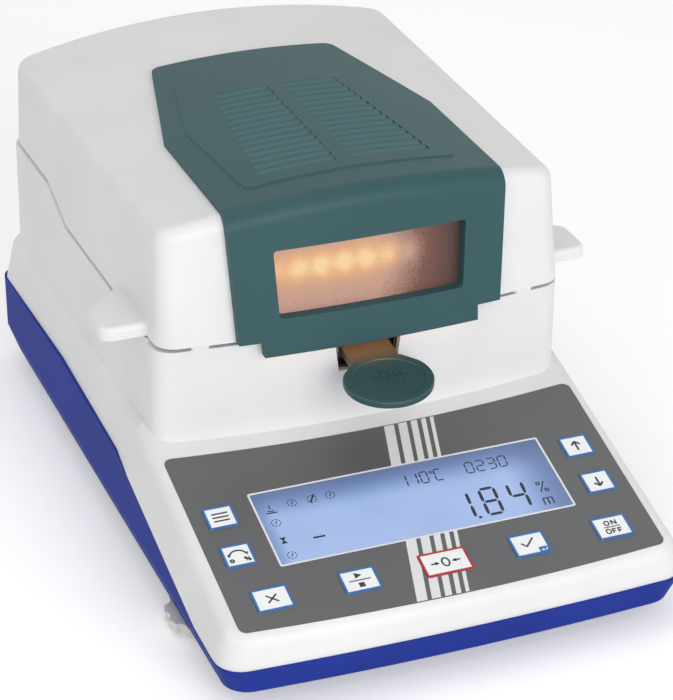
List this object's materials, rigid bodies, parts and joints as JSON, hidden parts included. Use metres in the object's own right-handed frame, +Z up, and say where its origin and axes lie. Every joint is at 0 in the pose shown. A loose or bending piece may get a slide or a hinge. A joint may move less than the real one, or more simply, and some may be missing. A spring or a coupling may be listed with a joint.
{
  "type": "moisture analyzer",
  "caption": "Benchtop halogen moisture analyzer: hinged heating lid with window and vents over a weighing pan, sloping display and key panel, levelling feet.",
  "frame": {"origin": "on the bench, below the middle of the case's plan", "axes": "+X to the right as the user faces it, +Y to the rear, +Z up"},
  "size_m": [0.219, 0.336, 0.1699],
  "materials": {
    "housing_plastic": "satin off-white moulded plastic",
    "tray_plastic": "satin dark blue moulded plastic",
    "hood_plastic": "satin grey-green moulded plastic",
    "handle_plastic": "satin grey-green heat-resistant plastic",
    "foil": "dark grey printed control foil",
    "key_cap": "white key cap with a blue printed border",
    "tare_cap": "white key cap with a red printed border",
    "display_plate": "clear window over a pale blue lit display",
    "display_body": "black display module",
    "steel": "brushed stainless steel",
    "pan_aluminium": "bright rolled aluminium",
    "cell_aluminium": "machined aluminium",
    "clear_glass": "heat-resistant clear glass",
    "quartz": "quartz glass tube, lit",
    "filament": "glowing tungsten coil",
    "ceramic": "white ceramic",
    "black_plastic": "black plastic",
    "grey_plastic": "light grey plastic",
    "rubber": "black rubber",
    "circuit_board": "green circuit board",
    "level_green": "green bubble level",
    "screw_steel": "zinc-plated steel"
  },
  "bodies": {
    "base": {"base_tray": "tray_plastic", "rear_foot_pads": "rubber", "upper_housing": "housing_plastic", "chamber_liner": "steel", "guard_ring": "steel", "pan_support": "steel", "weighing_cell": "cell_aluminium", "load_receptor": "cell_aluminium", "control_foil": "foil", "dome_switches": "steel", "keypad_board": "circuit_board", "display_window": "display_plate", "display_module": "display_body", "lid_rests": "rubber", "hinge_ears": "screw_steel", "hinge_pins": "screw_steel", "lid_switch": "black_plastic", "spirit_level": "level_green", "main_board": "circuit_board", "board_components": "black_plastic", "power_supply": "black_plastic", "power_inlet": "black_plastic", "serial_socket": "black_plastic", "usb_socket": "black_plastic", "inlet_blades": "screw_steel", "case_screws": "screw_steel", "board_screws": "screw_steel"},
    "lid": {"lid_shell": "housing_plastic", "hood_cover": "hood_plastic", "window_glass": "clear_glass", "heater_frame": "steel", "protective_glass": "clear_glass", "lamp_brackets": "steel", "lamp_sockets": "ceramic", "lamp_tubes": "quartz", "lamp_caps": "ceramic", "lamp_filaments": "filament", "reflector": "steel", "temperature_sensor": "steel", "lid_straps": "screw_steel"},
    "pan_carrier": {"pan_ring": "steel", "pan_handle": "handle_plastic"},
    "pan": {"sample_pan": "pan_aluminium"},
    "plunger": {"lid_plunger": "black_plastic"},
    "left_foot": {"levelling_pad_left": "rubber"},
    "left_foot_screw": {"levelling_screw_left": "grey_plastic"},
    "right_foot": {"levelling_pad_right": "rubber"},
    "right_foot_screw": {"levelling_screw_right": "grey_plastic"},
    "menu_key": {"key_menu": "key_cap"},
    "unit_key": {"key_unit": "key_cap"},
    "up_key": {"key_up": "key_cap"},
    "down_key": {"key_down": "key_cap"},
    "escape_key": {"key_escape": "key_cap"},
    "start_stop_key": {"key_start_stop": "key_cap"},
    "tare_key": {"key_tare": "tare_cap"},
    "enter_key": {"key_enter": "key_cap"},
    "on_off_key": {"key_on_off": "key_cap"}
  },
  "joints": [
    {"name": "lid_hinge", "type": "hinge", "parent": "base", "child": "lid", "pos_m": [0, 0.163, 0.118], "axis": [-1, 0, 0], "range_deg": [0, 85]},
    {"name": "plunger_slide", "type": "slide", "parent": "base", "child": "plunger", "axis": [0, 0, 1], "range_m": [0, 0.003]},
    {"name": "handle_lift", "type": "slide", "parent": "base", "child": "pan_carrier", "axis": [0, 0, 1], "range_m": [0, 0.004]},
    {"name": "pan_lift", "type": "slide", "parent": "base", "child": "pan", "axis": [0, 0, 1], "range_m": [0, 0.004]},
    {"name": "menu_press", "type": "slide", "parent": "base", "child": "menu_key", "axis": [0, 0.2561, -0.9666], "range_m": [0, 0.00035], "stiffness_N_per_m": 2000, "springref_m": -0.0005},
    {"name": "unit_press", "type": "slide", "parent": "base", "child": "unit_key", "axis": [0, 0.2561, -0.9666], "range_m": [0, 0.00035], "stiffness_N_per_m": 2000, "springref_m": -0.0005},
    {"name": "up_press", "type": "slide", "parent": "base", "child": "up_key", "axis": [0, 0.2561, -0.9666], "range_m": [0, 0.00035], "stiffness_N_per_m": 2000, "springref_m": -0.0005},
    {"name": "down_press", "type": "slide", "parent": "base", "child": "down_key", "axis": [0, 0.2561, -0.9666], "range_m": [0, 0.00035], "stiffness_N_per_m": 2000, "springref_m": -0.0005},
    {"name": "escape_press", "type": "slide", "parent": "base", "child": "escape_key", "axis": [0, 0.2561, -0.9666], "range_m": [0, 0.00035], "stiffness_N_per_m": 2000, "springref_m": -0.0005},
    {"name": "start_stop_press", "type": "slide", "parent": "base", "child": "start_stop_key", "axis": [0, 0.2561, -0.9666], "range_m": [0, 0.00035], "stiffness_N_per_m": 2000, "springref_m": -0.0005},
    {"name": "tare_press", "type": "slide", "parent": "base", "child": "tare_key", "axis": [0, 0.2561, -0.9666], "range_m": [0, 0.00035], "stiffness_N_per_m": 2000, "springref_m": -0.0005},
    {"name": "enter_press", "type": "slide", "parent": "base", "child": "enter_key", "axis": [0, 0.2561, -0.9666], "range_m": [0, 0.00035], "stiffness_N_per_m": 2000, "springref_m": -0.0005},
    {"name": "on_off_press", "type": "slide", "parent": "base", "child": "on_off_key", "axis": [0, 0.2561, -0.9666], "range_m": [0, 0.00035], "stiffness_N_per_m": 2000, "springref_m": -0.0005},
    {"name": "left_foot_travel", "type": "slide", "parent": "base", "child": "left_foot", "axis": [0, 0, -1], "range_m": [-0.0006, 0.005]},
    {"name": "left_foot_turn", "type": "hinge", "parent": "left_foot", "child": "left_foot_screw", "pos_m": [-0.085, -0.0955, 0.004], "axis": [0, 0, 1], "range_deg": [-180, 1441]},
    {"name": "right_foot_travel", "type": "slide", "parent": "base", "child": "right_foot", "axis": [0, 0, -1], "range_m": [-0.0006, 0.005]},
    {"name": "right_foot_turn", "type": "hinge", "parent": "right_foot", "child": "right_foot_screw", "pos_m": [0.085, -0.0955, 0.004], "axis": [0, 0, 1], "range_deg": [-180, 1441]}
  ],
  "couplings": [
    {"joint": "plunger_slide", "follows": "lid_hinge", "m_per_rad": 0.002},
    {"joint": "pan_lift", "follows": "handle_lift", "ratio": 1},
    {"joint": "left_foot_turn", "follows": "left_foot_travel", "rad_per_m": 5026.6},
    {"joint": "right_foot_turn", "follows": "right_foot_travel", "rad_per_m": 5026.6}
  ]
}
